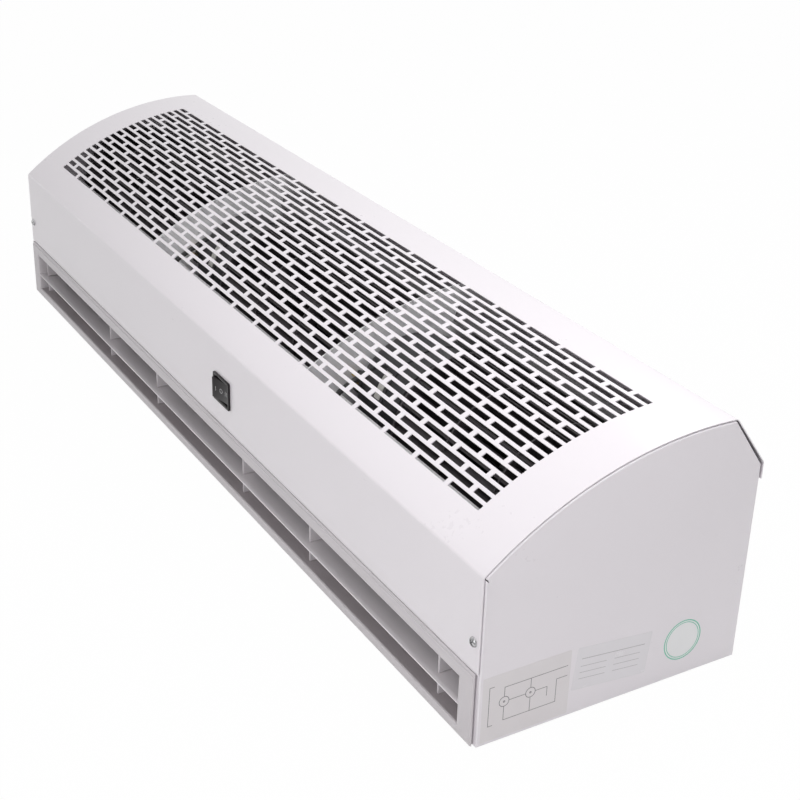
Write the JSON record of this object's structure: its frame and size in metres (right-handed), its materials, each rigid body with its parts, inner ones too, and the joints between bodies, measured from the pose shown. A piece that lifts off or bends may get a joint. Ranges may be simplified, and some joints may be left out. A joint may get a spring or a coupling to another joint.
{
  "type": "air curtain",
  "caption": "Wall-mounted crossflow air curtain: arched sheet-metal cabinet with a slotted intake, a louvred outlet along one face and a rocker switch.",
  "frame": {"origin": "on the underside of the wall plate, under the middle of the object's box", "axes": "+X along the cabinet, towards its right end as seen from the switch side; +Y from the outlet and switch face to the rear; +Z from the wall plate towards the arched intake grille. On the wall the plate is upright, the outlet face points down and +Y points up."},
  "size_m": [0.9, 0.231, 0.2],
  "materials": {
    "paint": "smooth white gloss paint on folded sheet steel",
    "louvre_plastic": "light grey moulded plastic, satin",
    "zinc_sheet": "galvanised sheet, dull spangle",
    "impeller_plastic": "black moulded plastic",
    "motor_paint": "dark enamel on pressed steel",
    "bright_steel": "bright plated steel",
    "bronze": "oil-filled sintered bronze",
    "brass_tab": "stamped brass",
    "rubber": "black moulded rubber",
    "switch_plastic": "black glossy plastic",
    "white_plastic": "white moulded plastic",
    "black_sleeve": "black vinyl sleeve",
    "blue_lead": "blue vinyl insulation"
  },
  "bodies": {
    "cabinet": {"base_screw_left_1": "bright_steel", "base_screw_left_2": "bright_steel", "base_screw_right_1": "bright_steel", "base_screw_right_2": "bright_steel", "bearing_bush_left": "bronze", "bearing_bush_middle": "bronze", "bearing_bush_right": "bronze", "bearing_seat_left": "rubber", "bearing_seat_middle": "rubber", "bearing_seat_right": "rubber", "capacitor_1": "white_plastic", "capacitor_2": "white_plastic", "cover": "paint", "cover_screw_left": "bright_steel", "cover_screw_right": "bright_steel", "end_plate_left": "paint", "end_plate_right": "paint", "entry_grommet": "rubber", "front_guide": "zinc_sheet", "lead_grommet_1": "rubber", "lead_grommet_2": "rubber", "motor_1_casing": "motor_paint", "motor_1_screw_1": "bright_steel", "motor_1_screw_2": "bright_steel", "motor_2_casing": "motor_paint", "motor_2_screw_1": "bright_steel", "motor_2_screw_2": "bright_steel", "motor_lead_1": "black_sleeve", "motor_lead_2": "black_sleeve", "outlet_blade": "louvre_plastic", "outlet_fin_1": "louvre_plastic", "outlet_fin_2": "louvre_plastic", "outlet_fin_3": "louvre_plastic", "outlet_fin_4": "louvre_plastic", "outlet_fin_5": "louvre_plastic", "outlet_fin_6": "louvre_plastic", "outlet_louvre": "louvre_plastic", "partition_left": "zinc_sheet", "partition_right": "zinc_sheet", "scroll": "zinc_sheet", "switch_body": "switch_plastic", "switch_lead_1": "blue_lead", "switch_lead_2": "blue_lead", "switch_tab_1": "brass_tab", "switch_tab_2": "brass_tab", "switch_tab_3": "brass_tab", "terminal_block": "white_plastic", "wall_plate": "paint"},
    "left_rotor": {"motor_1_shaft": "bright_steel", "impeller_1": "impeller_plastic", "impeller_1_hub": "rubber", "impeller_1_pin": "bright_steel", "impeller_2": "impeller_plastic", "impeller_2_hub": "rubber", "impeller_2_pin": "bright_steel"},
    "right_rotor": {"motor_2_shaft": "bright_steel", "impeller_3": "impeller_plastic", "impeller_3_hub": "rubber", "impeller_3_pin": "bright_steel"},
    "rocker": {"switch_rocker": "switch_plastic"}
  },
  "joints": [
    {"name": "left_rotor_spin", "type": "hinge", "parent": "cabinet", "child": "left_rotor", "pos_m": [0, 0.006, 0.116], "axis": [1, 0, 0], "continuous": true},
    {"name": "right_rotor_spin", "type": "hinge", "parent": "cabinet", "child": "right_rotor", "pos_m": [0, 0.006, 0.116], "axis": [1, 0, 0], "continuous": true},
    {"name": "switch_rock", "type": "hinge", "parent": "cabinet", "child": "rocker", "pos_m": [0.054, -0.11, 0.0929], "axis": [0, 0, 1], "range_deg": [-20, 0]}
  ]
}
